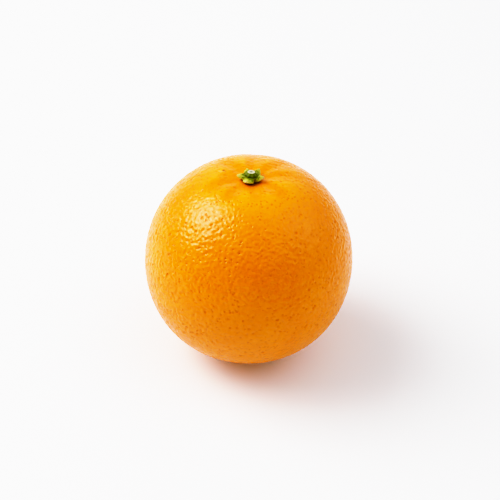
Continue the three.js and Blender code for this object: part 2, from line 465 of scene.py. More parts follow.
@dataclass(frozen=True)
class WaxyPeel:
    """Orange peel, grown, with a thin film of natural wax.

    The wax gives it a clean gloss that the pits break up. The oil glands under the skin let some light in, so
    the shade is warm, each pit is redder than the skin between the glands and darker still as painted shade
    in its hollow, and no patch is one even orange. The furrows and the calyx's overhang carry painted shade,
    the ridges a painted highlight.
    A field named range gives the values of noise at which its pattern starts and is complete.
    """

    relief: PeelRelief = PeelRelief()
    deep: str = "#ec8404"
    bright: str = "#ee8a05"
    # the glands' own redder tone, which the pits and pores also take darker as painted shade in their hollows
    pit: str = "#e17a03"
    pore: str = "#d87002"
    # painted shade in the furrows
    crease_shade: str = "#ef8502"
    # painted highlight on the ridges between the furrows
    ridge_highlight: str = "#f7a42c"
    # painted shade where the calyx's lobes overhang the peel
    crevice_shade: str = "#43210a"
    scratches: tuple[Scratch, ...] = (
        # the two pale spots are a painted highlight on the swelling beside the prick; the third is its dark
        # dot
        Scratch((-10.7, 4.6, 71.6), 0.7, "#efa550"),
        Scratch((-10.2, 4.2, 71.7), 0.7, "#efa550"),
        Scratch((-9.4, 4.9, 71.8), 0.65, "#6e3c0e"),
    )
    corky: str = "#8a5a2c"
    cork_pale: str = "#c99a5b"
    cork_mm: float = 0.5
    patch_mm: float = 11.0
    patch_range: tuple[float, float] = (0.32, 0.68)
    mottle_mm: float = 2.6
    mottle_range: tuple[float, float] = (0.5, 0.8)
    mottle_share: float = 0.5
    relief_share: float = 0.8
    film_range: tuple[float, float] = (0.3, 0.7)
    roughness: tuple[float, float] = (0.18, 0.27)
    ior: float = 1.48
    glow_weight: float = 0.12
    glow_depth_mm: float = 1.6
    glow_reach: tuple[float, float, float] = (1.0, 0.5, 0.15)  # red, green and blue, as shares of the depth

    def material(self) -> bpy.types.Material:
        """Builds the peel's material.

        Returns:
            The material, which reads the layers PITTED, CREASE_SHADE, RIDGE_HIGHLIGHT, CREVICE_SHADE and SCAR
            of its piece.
        """
        material, tree = empty_material("waxy_peel")
        place = read_place(tree)
        pattern = self.relief.add(tree, place)
        film = noise(tree, place, self.mottle_mm, detail=3.0)  # the wax lies thicker and thinner
        shader = {
            "IOR": self.ior,
            "Subsurface Weight": self.glow_weight,
            "Subsurface Radius": self.glow_reach,
            "Subsurface Scale": self.glow_depth_mm * MM,
            "Base Color": self._colour(tree, place, pattern),
            "Roughness": change_range(tree, film, self.film_range, self.roughness),
            "Normal": self._normal(tree, place, pattern),
        }
        show_surface(tree, shader)
        return material

    def _colour(self, tree: Tree, place: Socket, pattern: Pattern) -> Socket:
        """Builds the peel's colour, from broad patches down to single pores.

        Args:
            tree: The material's tree.
            place: The place on the fruit.
            pattern: The relief's outputs.

        Returns:
            The colour's output.
        """
        patches = change_range(tree, noise(tree, place, self.patch_mm, detail=3.0), self.patch_range)
        mottle = noise(tree, place, self.mottle_mm, detail=2.0)
        steps = [
            (change_range(tree, mottle, self.mottle_range, (0.0, self.mottle_share)), self.pit),
            # painted highlight on the ridges between the furrows
            (read_layer(tree, Layer.RIDGE_HIGHLIGHT), self.ridge_highlight),
            # painted shade in the furrows
            (read_layer(tree, Layer.CREASE_SHADE), self.crease_shade),
            # pits and pores: the glands' redder tone, and painted shade in their hollows
            (pattern.pit, self.pit),
            (pattern.pore, self.pore),
            # painted shade under the calyx's lobes
            (read_layer(tree, Layer.CREVICE_SHADE), self.crevice_shade),
        ]
        steps += [(scratch.mark(tree, place), scratch.colour) for scratch in self.scratches]
        colour = blend(tree, patches, self.deep, self.bright)
        for share, tint in steps:
            colour = blend(tree, share, colour, tint)
        cork = blend(tree, noise(tree, place, self.cork_mm, detail=4.0), self.corky, self.cork_pale)
        return blend(tree, read_layer(tree, Layer.SCAR), colour, cork)

    def _normal(self, tree: Tree, place: Socket, pattern: Pattern) -> Socket:
        """Sharpens the mesh's relief with the same pattern and adds the fine grain of the skin.

        Args:
            tree: The material's tree.
            place: The place on the fruit.
            pattern: The relief's outputs.

        Returns:
            The normal's output.
        """
        depth = calculate(tree, "MULTIPLY", pattern.depth, read_layer(tree, Layer.PITTED))
        inputs = {"Strength": self.relief_share, "Distance": MM, "Height": depth}
        sharpened = add_node(tree, "ShaderNodeBump", inputs, invert=True).outputs["Normal"]
        grain = noise(tree, place, self.relief.grain_mm, detail=2.0)
        return bump(tree, grain, self.relief.grain_height_mm, sharpened)


@dataclass(frozen=True)
class FleshyCalyx:
    """The calyx: five fleshy green lobes, dry and straw-coloured at their tips and edges.

    The flesh gives a yellow-green that glows a little at the edges, and the dry rim gives a pale broken line.
    """

    greens: Ramp = ((0.1, "#6a7422"), (0.35, "#9fa33a"), (0.8, "#c3c264"))  # from the middle to the tips
    dry: str = "#cfa368"
    fleck_mm: float = 0.55
    fleck_strength: float = 1.3
    vein_mm: float = 0.28
    vein_height_mm: float = 0.05
    roughness: float = 0.48
    ior: float = 1.45
    glow_weight: float = 0.15
    glow_depth_mm: float = 0.8
    glow_reach: tuple[float, float, float] = (0.7, 1.0, 0.2)  # red, green and blue, as shares of the depth

    def material(self) -> bpy.types.Material:
        """Builds the calyx's material.

        Returns:
            The material, which reads the layers OUT and DRY of its piece.
        """
        material, tree = empty_material("fleshy_calyx")
        place = read_place(tree)
        flecks = about_zero(tree, noise(tree, place, self.fleck_mm, detail=3.0), self.fleck_strength)
        flesh = shade(tree, calculate(tree, "ADD", read_layer(tree, Layer.OUT), flecks), self.greens)
        dryness = calculate(tree, "ADD", read_layer(tree, Layer.DRY), flecks, clamp=True)
        shader = {
            "IOR": self.ior,
            "Roughness": self.roughness,
            "Subsurface Weight": self.glow_weight,
            "Subsurface Radius": self.glow_reach,
            "Subsurface Scale": self.glow_depth_mm * MM,
            "Base Color": blend(tree, dryness, flesh, self.dry),
            "Normal": bump(tree, noise(tree, place, self.vein_mm, detail=3.0), self.vein_height_mm),
        }
        show_surface(tree, shader)
        return material


@dataclass(frozen=True)
class Fibrous:
    """A plant surface whose fibres break up its colour, which follows one painted layer."""

    name: str
    layer: Layer
    colours: Ramp
    fibre_mm: float
    fibre_height_mm: float
    fibre_strength: float
    roughness: float
    ior: float = 1.45

    def material(self) -> bpy.types.Material:
        """Builds the material.

        Returns:
            The material, which reads the finish's layer of its piece.
        """
        material, tree = empty_material(self.name)
        fibres = noise(tree, read_place(tree), self.fibre_mm, detail=3.0)
        uneven = about_zero(tree, fibres, self.fibre_strength)
        colour = shade(tree, calculate(tree, "ADD", read_layer(tree, self.layer), uneven), self.colours)
        shader = {
            "IOR": self.ior,
            "Roughness": self.roughness,
            "Base Color": colour,
            "Normal": bump(tree, fibres, self.fibre_height_mm),
        }
        show_surface(tree, shader)
        return material


@dataclass(frozen=True)
class GreenBark(Fibrous):
    """Young citrus bark: dark green, with paler ribs where it is stretched, and painted shade that darkens it
    towards its foot. It gives a dull, dark collar.
    """

    name: str = "green_bark"
    layer: Layer = Layer.RIB
    colours: Ramp = ((0.1, "#48531b"), (0.5, "#6b762c"), (0.95, "#9da254"))
    fibre_mm: float = 0.45
    fibre_height_mm: float = 0.04
    fibre_strength: float = 0.7
    roughness: float = 0.55


@dataclass(frozen=True)
class CutTwig(Fibrous):
    """The clipped end of a green twig: pale wood round a grey-green pith. It gives the small bright disc."""

    name: str = "cut_twig"
    layer: Layer = Layer.ACROSS
    colours: Ramp = ((0.3, "#85886f"), (0.62, "#c2bda2"), (0.84, "#c2bda2"), (0.97, "#7d8848"))
    fibre_mm: float = 0.22
    fibre_height_mm: float = 0.03
    fibre_strength: float = 0.3
    roughness: float = 0.6


@dataclass(frozen=True)
class Swell:
    """One slow wave through the fruit's form."""

    height: float
    wave: tuple[float, float, float]
    phase: float


@dataclass(frozen=True)
class Furrow:
    """One furrow that runs out of the dip at the stem end."""

    azimuth: float
    depth: float
    reach: float


@dataclass(frozen=True)
class FruitForm:
    """The smooth form of the fruit, in millimetres and degrees.

    The solid in the frame is alike, but its furrows are a little deeper and its lower part is rounder.
    """

    seat_height: float
    width: float = 74.0
    height: float = 75.2
    flat_spot_radius: float = 7.0
    shoulder_swell: float = 0.13
    shoulder_angle: float = 47.0
    shoulders: int = 4
    swells: tuple[Swell, ...] = (
        Swell(0.13, (1.9, 1.1, -0.7), 0.4),
        Swell(0.1, (-2.4, 1.6, 1.3), 2.1),
        Swell(0.08, (0.8, -3.1, 2.2), 4.0),
    )
    base_flattening: float = 1.0
    base_angle: float = 146.0  # from the stem end
    base_spread: float = 16.0
    seat_radius: float = 3.5
    seat_blend: float = 0.8
    dip_reach: float = 9.5
    furrow_start: float = 4.5
    furrow_ease: float = 2.0
    furrow_full_share: float = 0.4
    furrow_width: float = 1.5
    furrow_spread: float = 0.08
    furrows: tuple[Furrow, ...] = (
        Furrow(14, 0.5, 22),
        Furrow(46, 0.6, 27),
        Furrow(85, 0.6, 29),
        Furrow(131, 0.5, 22),
        Furrow(167, 0.35, 14),
        Furrow(196, 0.55, 20),
        Furrow(233, 0.5, 17),
        Furrow(283, 0.35, 15),
        Furrow(325, 0.45, 18),
    )
    scar_radius: float = 1.6
    scar_depth: float = 0.5
    scar_floor_share: float = 0.5  # of the radius
    scar_rim_share: float = 1.15

    @property
    def half_width(self) -> float:
        """Half the fruit's width."""
        return self.width / 2

    @property
    def half_height(self) -> float:
        """Half the fruit's height, before the dip and the flat spot are taken from it."""
        return self.height / 2

    @property
    def centre_height(self) -> float:
        """How high the fruit's centre is above the surface that it rests on."""
        return self.half_height * math.sqrt(1 - (self.flat_spot_radius / self.half_width) ** 2)

    @staticmethod
    def polar(directions: np.ndarray) -> np.ndarray:
        """The angle of each direction from the stem end, in radians."""
        return np.arccos(np.clip(directions[:, 2], -1.0, 1.0))

    def from_stem(self, directions: np.ndarray) -> np.ndarray:
        """How far along the peel each direction is from the stem end."""
        return self.polar(directions) * self.half_width

    def creases(self, directions: np.ndarray) -> np.ndarray:
        """How deep the furrows are in each direction.

        Args:
            directions: Unit vectors from the fruit's centre.

        Returns:
            The depths.
        """
        distance = self.from_stem(directions)
        depth = np.zeros(len(directions))
        start, ease = self.furrow_start, self.furrow_ease
        begun = smoothstep(start - ease, start + ease, distance)
        for furrow in self.furrows:
            sideways = np.radians(turned_from(furrow.azimuth, directions)) * distance
            along = begun * (1 - smoothstep(self.furrow_full_share * furrow.reach, furrow.reach, distance))
            depth += furrow.depth * along * bell(sideways, self.furrow_width + self.furrow_spread * distance)
        return depth

    def radius(self, directions: np.ndarray) -> np.ndarray:
        """The smooth peel's distance from the fruit's centre.

        Args:
            directions: Unit vectors from the fruit's centre.

        Returns:
            The distances.
        """
        polar = self.polar(directions)
        flat = np.hypot(directions[:, 0], directions[:, 1]) / self.half_width
        radius = 1 / np.hypot(flat, directions[:, 2] / self.half_height)
        radius += self.shoulder_swell * np.cos(self.shoulders * (polar - math.radians(self.shoulder_angle)))
        for swell in self.swells:
            radius += swell.height * np.sin(directions @ np.array(swell.wave) + swell.phase)
        radius -= self.base_flattening * bell(np.degrees(polar) - self.base_angle, self.base_spread)
        dip_depth = self.centre_height + self.half_height - self.seat_height
        radius -= dip_depth * bell(polar * self.half_width, self.dip_reach)
        return radius - self.creases(directions)

    def points(self, directions: np.ndarray) -> np.ndarray:
        """Puts the peel's points in place, level in the seat and the flat spot, with the scar pressed in.

        Args:
            directions: Unit vectors from the fruit's centre.

        Returns:
            The points in the frame.
        """
        points = directions * self.radius(directions)[:, None]
        points[:, 2] += self.centre_height
        from_axis = np.hypot(points[:, 0], points[:, 1])
        top = directions[:, 2] > 0
        seat, ease = self.seat_radius, self.seat_blend
        upper = mix(self.seat_height, points[:, 2], smoothstep(seat - ease, seat + ease, from_axis))
        points[:, 2] = np.where(top, upper, np.maximum(points[:, 2], 0.0))
        floor, rim = self.scar_floor_share * self.scar_radius, self.scar_rim_share * self.scar_radius
        points[:, 2] += np.where(top, 0.0, self.scar_depth * (1 - smoothstep(floor, rim, from_axis)))
        return points


def geodesic(divisions: int) -> tuple[np.ndarray, np.ndarray]:
    """Divides the faces of an icosahedron into small triangles on a unit sphere.

    Args:
        divisions: Triangles along each edge of the icosahedron.

    Returns:
        The directions of the points, and the points of each triangle, counterclockwise from outside.
    """
    golden = (1 + math.sqrt(5)) / 2
    signs = (-1, 1)
    corners = np.array(
        [np.roll((0.0, one, two * golden), turn) for turn in range(3) for one in signs for two in signs]
    )
    edge = 2.0  # the icosahedron's edge with these corners
    rows, columns = np.array([(i, j) for i in range(divisions + 1) for j in range(divisions + 1 - i)]).T
    number = {(i, j): at for at, (i, j) in enumerate(zip(rows.tolist(), columns.tolist()))}
    small = [
        (number[i, j], number[i + 1, j], number[i, j + 1])
        for i in range(divisions)
        for j in range(divisions - i)
    ] + [
        (number[i + 1, j], number[i + 1, j + 1], number[i, j + 1])
        for i in range(divisions - 1)
        for j in range(divisions - 1 - i)
    ]
    points, triangles = [], []
    for a, b, c in combinations(corners, 3):
        if not all(math.isclose(np.linalg.norm(p - q), edge) for p, q in ((a, b), (b, c), (c, a))):
            continue
        if np.dot(a, np.cross(b, c)) < 0:
            b, c = c, b
        first = len(points) * len(rows)
        points.append(a + np.outer(rows, b - a) / divisions + np.outer(columns, c - a) / divisions)
        triangles.append(np.array(small) + first)
    directions = unit(np.concatenate(points))
    alike = directions.round(6)  # two faces share the points on an edge, which agree to six places
    _, kept, merged = np.unique(alike, axis=0, return_index=True, return_inverse=True)
    return directions[kept], merged.ravel()[np.concatenate(triangles)]


@dataclass(frozen=True)
class Peel:
    """The fruit's outside: one closed skin on the form, with its pits as real relief.

    The pairs are distances along the peel from the stem end, in millimetres, between which a layer changes.
    """

    form: FruitForm
    finish: WaxyPeel = WaxyPeel()
    divisions: int = 99
    # painted shade in the furrows: full at this depth, at this share
    crease_shade_mm: float = 0.6
    crease_shade_share: float = 0.7
    ridge_highlight_mm: float = 0.2  # the depth of furrow at which the painted highlight between two of them ends
    ridge_highlight_share: float = 0.5
    ridge_highlights_start: tuple[float, float] = (3.0, 6.0)
    ridge_highlights_end: tuple[float, float] = (9.0, 24.0)
    first_pits: tuple[float, float] = (4.0, 8.0)
    all_pits: tuple[float, float] = (10.0, 30.0)
    # painted shade under the calyx's lobes, reaching furthest on the side away from the key light
    crevice_shade_share: float = 0.85
    crevice_shade_full: float = 2.8
    crevice_shade_end: float = 4.4
    crevice_shade_widening: float = 0.9
    crevice_shade_azimuth: float = 305.0  # where the painted shade is widest, on the side away from the key light, in degrees
    crevice_shade_spread: float = 40.0
    cork_full_share: float = 0.9  # of the scar's radius
    cork_end_share: float = 1.5

    def build(self) -> bpy.types.Object:
        """Builds the skin and dresses it.

        Returns:
            The piece.
        """
        directions, triangles = geodesic(self.divisions)
        points = self.form.points(directions)
        dress = [self.finish.material()]
        piece = add_piece("orange_peel", points, triangles.tolist(), Part.FRUIT, dress)
        paint(piece, self._layers(directions, points))
        self.finish.relief.press(piece)
        return piece

    def _layers(self, directions: np.ndarray, points: np.ndarray) -> dict[Layer, np.ndarray]:
        """Paints shade into the furrows and under the calyx's lobes, a highlight onto the ridges between the
        furrows, and the corky scar.

        Args:
            directions: Unit vectors from the fruit's centre.
            points: The peel's points.

        Returns:
            The layers that the peel's finish reads.
        """
        depth = self.form.creases(directions)
        distance = self.form.from_stem(directions)
        ridge_lit = smoothstep(*self.ridge_highlights_start, distance) * (1 - smoothstep(*self.ridge_highlights_end, distance))
        pitted = (smoothstep(*self.first_pits, distance) + smoothstep(*self.all_pits, distance)) / 2
        toward_shaded_side = bell(turned_from(self.crevice_shade_azimuth, directions), self.crevice_shade_spread)
        crevice_shade_end = self.crevice_shade_end + self.crevice_shade_widening * toward_shaded_side
        from_axis = np.hypot(points[:, 0], points[:, 1]) / self.form.scar_radius
        corky = 1 - smoothstep(self.cork_full_share, self.cork_end_share, from_axis)
        return {
            # painted shade in the furrows
            Layer.CREASE_SHADE: self.crease_shade_share * np.clip(depth / self.crease_shade_mm, 0.0, 1.0),
            # painted highlight on the ridges between the furrows
            Layer.RIDGE_HIGHLIGHT: self.ridge_highlight_share * ridge_lit * (1 - smoothstep(0.0, self.ridge_highlight_mm, depth)),
            Layer.PITTED: pitted,
            # painted shade under the calyx's lobes
            Layer.CREVICE_SHADE: self.crevice_shade_share * (1 - smoothstep(self.crevice_shade_full, crevice_shade_end, distance)),
            Layer.SCAR: np.where(directions[:, 2] < 0, corky, 0.0),
        }


@dataclass(frozen=True)
class Ripple:
    """Waves round an axis."""

    count: int
    height: float
    phase: float

    def at(self, turn: np.ndarray) -> np.ndarray:
        """How high the waves are at each turn, in radians, round the axis."""
        return self.height * np.sin(self.count * turn + self.phase)


@dataclass(frozen=True)
class Lobe:
    """One lobe of the calyx: where it points, how far it reaches and how far its tip has risen."""

    azimuth: float
    reach: float
    lift: float
    point: float = 1.35  # 1 for straight sides, less for a blunt lobe, more for a pointed one
    notch: float = 3.3  # the radius of the notch that follows it


@dataclass(frozen=True)
class Spokes:
    """The calyx along each of its spokes, from the middle outwards, in millimetres and degrees."""

    azimuth: np.ndarray
    turn: np.ndarray  # from the tip of the nearest lobe
    to_notch: np.ndarray  # 0 at the lobe's tip and 1 at the notch
    reach: np.ndarray  # of the lobe
    lift: np.ndarray
    edge: np.ndarray  # the calyx's radius on the spoke


@dataclass(frozen=True)
class Calyx:
    """The five-lobed calyx, in millimetres and degrees above its seat.

    The shares of a spoke run from 0 in the middle to 1 at the edge.
    """

    seat_height: float
    stub_height: float
    collar: float = 0.5  # how far the middle rises round the stub's foot
    lobes: tuple[Lobe, ...] = (
        Lobe(56, 5.3, 1.25),
        Lobe(110, 4.7, 0.9),
        Lobe(177, 5.0, 1.15, notch=2.9),
        Lobe(248, 4.6, 1.2, 0.8, notch=2.5),
        Lobe(343, 4.8, 1.65),
    )
    notch_lift: float = 1.0
    lobe_curl: float = 0.8
    foot_radius: float = 2.2
    boss_radius: float = 2.4
    edge_thickness: float = 0.5
    edge_bluntness: int = 14  # the power of the curve round the edge
    midrib_height: float = 0.22
    midrib_width: float = 0.55
    crinkle: float = 0.09
    crinkles: tuple[int, ...] = (7, 12, 19, 31)  # waves round the edge
    warps: tuple[Ripple, ...] = (Ripple(3, 0.07, 1.0), Ripple(8, 0.05, 4.0))
    dry_tip_width: float = 0.22  # as a share of the way to the notch
    dry_tip_start: float = 0.82  # as a share of the spoke
    dry_rim_start: float = 0.93
    rim_dryness: float = 0.35
    seed: int = 5
    spokes: int = 360
    rings: int = 30
    finish: FleshyCalyx = FleshyCalyx()

    @property
    def boss_height(self) -> float:
        """How high the calyx's middle is."""
        return self.stub_height + self.collar

    def build(self) -> bpy.types.Object:
        """Builds the calyx and dresses it.

        Returns:
            The piece.
        """
        spokes = self._lay_spokes()
        points, out, dry = [], [], []
        shares = [math.sin(0.5 * math.pi * ring / self.rings) for ring in range(1, self.rings + 1)]
        for side in (1, -1):
            points.append(np.array([[0.0, 0.0, self.boss_height if side > 0 else 0.0]]))
            out.append(np.zeros(1))
            dry.append(np.zeros(1))
            for share in shares if side > 0 else shares[:-1]:
                points.append(self._ring(spokes, share, side))
                beyond_boss = share * spokes.edge - self.boss_radius
                out.append(np.clip(beyond_boss / (spokes.reach - self.boss_radius), 0.0, 1.0))
                dry.append(self._dryness(spokes, share))
        points = np.concatenate(points)
        points[:, 2] += self.seat_height
        dress = [self.finish.material()]
        piece = add_piece("calyx_star", points, self._faces(), Part.CALYX, dress)
        paint(piece, {Layer.OUT: np.concatenate(out), Layer.DRY: np.concatenate(dry)})
        return piece

    def _lay_spokes(self) -> Spokes:
        """Works out the calyx along each spoke from the lobes on both sides of it.

        Returns:
            The spokes.
        """
        azimuths, reaches, lifts, points, notches = np.array([astuple(lobe) for lobe in self.lobes]).T
        azimuth = np.arange(self.spokes) * FULL_TURN / self.spokes
        since = (azimuth[:, None] - azimuths) % FULL_TURN
        until = (-since) % FULL_TURN
        before, behind, ahead = since.argmin(1), since.min(1), until.min(1)
        share = behind / np.maximum(behind + ahead, 1e-6)
        first = share < 0.5
        lobe, turn = np.where(first, before, until.argmin(1)), np.where(first, behind, -ahead)
        to_notch = 2 * np.minimum(share, 1 - share)
        edge = mix(notches[before], reaches[lobe], (1 - to_notch) ** points[lobe])
        random = np.random.default_rng(self.seed)
        for count in self.crinkles:
            height = self.crinkle * math.sqrt(self.crinkles[0] / count)
            edge += Ripple(count, height, random.uniform(0, 2 * math.pi)).at(np.radians(azimuth))
        edge = np.minimum(edge, reaches[lobe])
        return Spokes(azimuth, turn, to_notch, reaches[lobe], lifts[lobe], edge)

    def _ring(self, spokes: Spokes, share: float, side: int) -> np.ndarray:
        """Lays the points of one ring.

        Args:
            spokes: The calyx along each spoke.
            share: The ring's share of the spokes.
            side: 1 for the top and -1 for the underside.

        Returns:
            The points above the seat, with the lobes a little warped, more towards their edges.
        """
        turn = np.radians(spokes.azimuth)
        radius = share * spokes.edge
        height, wall = self._section(spokes, radius)
        rounding = math.sqrt(max(0.0, 1 - share**self.edge_bluntness))
        z = height + wall * 0.5 * (1 + side * rounding) + share**3 * sum(warp.at(turn) for warp in self.warps)
        return np.stack([radius * np.cos(turn), radius * np.sin(turn), z], 1)

    def _section(self, spokes: Spokes, radius: np.ndarray) -> tuple[np.ndarray, np.ndarray]:
        """Works out the calyx's section along one ring.

        Args:
            spokes: The calyx along each spoke.
            radius: The ring's radius on each spoke.

        Returns:
            The underside's height above the seat, and the thickness.
        """
        rise = np.clip((radius - self.foot_radius) / (spokes.reach - self.foot_radius), 0.0, None)
        under = mix(spokes.lift, self.notch_lift, spokes.to_notch) * rise**self.lobe_curl
        lobe_length = np.maximum(spokes.edge - self.boss_radius, 1e-6)
        on_lobe = np.clip((radius - self.boss_radius) / lobe_length, 0.0, 1.0)
        sideways = np.abs(radius * np.sin(np.radians(spokes.turn)))
        midrib = self.midrib_height * bell(sideways, self.midrib_width) * np.sin(math.pi * on_lobe)
        return under, mix(self.boss_height, self.edge_thickness, on_lobe) + midrib

    def _dryness(self, spokes: Spokes, share: float) -> np.ndarray:
        """How dry the calyx is along one ring: most at the tips, and a little all along the edge."""
        tip = bell(spokes.to_notch, self.dry_tip_width) * smoothstep(self.dry_tip_start, 1.0, share)
        return np.maximum(tip, self.rim_dryness * smoothstep(self.dry_rim_start, 1.0, share))

    def _faces(self) -> list[tuple[int, ...]]:
        """Joins the points of both sides: the underside's rings end on the top's outermost ring."""
        spokes, rings = self.spokes, self.rings
        under = 1 + rings * spokes
        top_ring = [[1 + ring * spokes + s for s in range(spokes)] for ring in range(rings)]
        under_ring = [[under + 1 + ring * spokes + s for s in range(spokes)] for ring in range(rings - 1)]
        under_ring.append(top_ring[-1])
        faces = []
        for s in range(spokes):
            n = (s + 1) % spokes
            faces.append((0, top_ring[0][s], top_ring[0][n]))
            faces.append((under, under_ring[0][n], under_ring[0][s]))
            for inner, outer in zip(top_ring, top_ring[1:]):
                faces.append((inner[s], outer[s], outer[n], inner[n]))
            for inner, outer in zip(under_ring, under_ring[1:]):
                faces.append((inner[s], inner[n], outer[n], outer[s]))
        return faces


@dataclass(frozen=True)
class StemStub:
    """The cut stem stub, in millimetres and degrees above the calyx's boss."""

    foot_height: float
    height: float = 1.8
    foot_radius: float = 1.8
    top_radius: float = 1.3
    taper: tuple[float, float] = (0.3, 1.15)  # shares of the height: it tapers from here, and past the cut
    bulge: float = 0.27
    out_of_round: tuple[Ripple, ...] = (  # heights as shares of the radius
        Ripple(2, 0.04, 0.6 + math.pi / 2),
        Ripple(3, 0.03, 2.0 + math.pi / 2),
    )
    cut_tilt: float = 5.0
    ribs: int = 9
    rib_height: float = 0.07
    rib_drift: Ripple = Ripple(2, 0.8, 0.0)  # how far the ribs stray, in radians of their own wave
    rib_rise: float = 0.25  # how far up its wave a rib starts at the foot, as a share
    # the ribs grow paler up the stub, leaving painted shade at its foot where it meets the calyx
    rib_paleness: float = 0.5
    bark_paleness: float = 0.15
    rim_height: float = 0.05
    pith_depth: float = 0.12
    pith_spread: float = 0.35
    face_from: float = 0.97  # shares of the radius between which the face's rings lie
    face_to: float = 0.06
    spokes: int = 144
    side_rings: int = 18
    face_rings: int = 12
    bark: GreenBark = GreenBark()
    cut: CutTwig = CutTwig()

    def build(self) -> bpy.types.Object:
        """Builds the stub, bark and cut face, and dresses it.

        Returns:
            The piece.
        """
        turn = np.radians(np.arange(self.spokes) * FULL_TURN / self.spokes)
        lean = math.tan(math.radians(self.cut_tilt))
        face = np.linspace(self.face_from, self.face_to, self.face_rings)
        rings = [(up, 1.0, 0.0) for up in np.linspace(0.0, 1.0, self.side_rings)]
        rings += [(1.0, across, self._face_height(across)) for across in face]
        points, rib, across_layer = [], [], []
        for up, across, raised in rings:
            radius = self._radius(turn, up) * across
            x, y = radius * np.cos(turn), radius * np.sin(turn)
            points.append(np.stack([x, y, up * (self.height - lean * y) + raised], 1))
            # paler ribs, and painted shade darkening the bark towards the foot
            rib.append(self.bark_paleness + self.rib_paleness * (0.5 + 0.5 * self._rib_wave(turn)) * up)
            across_layer.append(np.full(self.spokes, across))
        points.append(np.array([[0.0, 0.0, 0.0], [0.0, 0.0, self.height - self.pith_depth]]))
        rib.append(np.zeros(2))
        across_layer.append(np.array([1.0, 0.0]))
        points = np.concatenate(points)
        points[:, 2] += self.foot_height
        dress = [self.bark.material(), self.cut.material()]
        piece = add_piece("cut_stem", points, self._faces(len(rings)), Part.STEM_STUB, dress)
        paint(piece, {Layer.RIB: np.concatenate(rib), Layer.ACROSS: np.concatenate(across_layer)})
        for polygon in piece.data.polygons:
            polygon.material_index = int(min(polygon.vertices) >= (self.side_rings - 1) * self.spokes)
        return piece

    def _radius(self, turn: np.ndarray, up: float) -> np.ndarray:
        """The bark's radius at a share of the stub's height, out of round and ribbed.

        Args:
            turn: The turn round the axis, in radians.
            up: The share of the height.

        Returns:
            The radii.
        """
        start, end = self.taper
        tapered = smoothstep(start, end, up) / smoothstep(start, end, 1.0)
        across = mix(self.foot_radius, self.top_radius, tapered) + self.bulge * math.sin(math.pi * up) ** 2
        ribs = self.rib_height * self._rib_wave(turn) * math.sin(math.pi * min(1, up + self.rib_rise))
        return (1 + sum(ripple.at(turn) for ripple in self.out_of_round)) * across + ribs

    def _rib_wave(self, turn: np.ndarray) -> np.ndarray:
        """1 on the crest of each rib and -1 between the ribs."""
        return np.cos(self.ribs * turn + self.rib_drift.at(turn))

    def _face_height(self, across: float) -> float:
        """How far the cut face is above the level of the cut: up just inside the bark, down at the pith."""
        return self.rim_height * math.sin(math.pi * across) - self.pith_depth * bell(across, self.pith_spread)

    def _faces(self, rings: int) -> list[tuple[int, ...]]:
        """Joins the rings from the foot to the pith, with a fan at both ends."""
        spokes = self.spokes
        foot, pith = rings * spokes, rings * spokes + 1
        last = (rings - 1) * spokes
        faces = []
        for s in range(spokes):
            n = (s + 1) % spokes
            faces.append((foot, n, s))
            faces.append((pith, last + s, last + n))
            for ring in range(0, last, spokes):
                faces.append((ring + s, ring + n, ring + spokes + n, ring + spokes + s))
        return faces


@dataclass(frozen=True)
class Softbox:
    """A square studio light: where it stands from the fruit, in degrees and metres, and how bright it is."""

    name: str
    azimuth: float
    elevation: float
    distance: float
    size: float
    radiance: float

    def build(self, target: Vector) -> bpy.types.Object:
        """Hangs the light and turns it to the fruit.

        Args:
            target: The fruit's centre, in metres.

        Returns:
            The light.
        """
        lamp = bpy.data.lights.new(self.name, "AREA")
        lamp.shape = "SQUARE"
        lamp.size = self.size
        lamp.energy = self.radiance * math.pi * self.size**2
        light = bpy.data.objects.new(self.name, lamp)
        away = toward(self.azimuth, self.elevation)
        light.location = target + away * self.distance
        light.rotation_mode = "QUATERNION"
        light.rotation_quaternion = away.to_track_quat("Z", "Y")
        light.visible_camera = False
        bpy.context.scene.collection.objects.link(light)
        return light


@dataclass(frozen=True)
class PhotoCamera:
    """The photograph's viewpoint. Pixels are in the photograph's own square frame."""

    frame_pixels: float = 500.0
    fruit_pixel: tuple[float, float] = (248.6, 259.5)
    fruit_radius_pixels: float = 105.7
    elevation: float = 40.0
    roll: float = 2.0
    lens_mm: float = 85.0
    sensor_mm: float = 36.0
    nearest: float = 0.01

    def build(self, centre: Vector, radius: float) -> bpy.types.Object:
        """Places the camera so that the fruit has its size and place in the frame.

        Args:
            centre: The fruit's centre, in metres.
            radius: The fruit's mean radius, in metres.

        Returns:
            The camera.
        """
        lens_pixels = self.lens_mm / self.sensor_mm * self.frame_pixels
        distance = radius / math.sin(math.atan(self.fruit_radius_pixels / lens_pixels))
        lean = math.radians(self.elevation)
        back = Vector((0.0, -math.cos(lean), math.sin(lean)))
        up = Vector((0.0, math.sin(lean), math.cos(lean)))
        right = Vector((1.0, 0.0, 0.0))
        pixel = distance / lens_pixels
        aside = self.frame_pixels / 2 - self.fruit_pixel[0]
        above = self.fruit_pixel[1] - self.frame_pixels / 2
        aim = centre + right * (aside * pixel) + up * (above * pixel)
        location = centre + back * distance
        data = bpy.data.cameras.new("photo_camera")
        data.lens = self.lens_mm
        data.sensor_width = self.sensor_mm
        data.clip_start = self.nearest
        camera = bpy.data.objects.new("photo_camera", data)
        turn = (location - aim).to_track_quat("Z", "Y").to_matrix().to_4x4()
        roll = Matrix.Rotation(math.radians(self.roll), 4, "Z")
        camera.matrix_world = Matrix.Translation(location) @ turn @ roll
        bpy.context.scene.collection.objects.link(camera)
        bpy.context.scene.camera = camera
        return camera


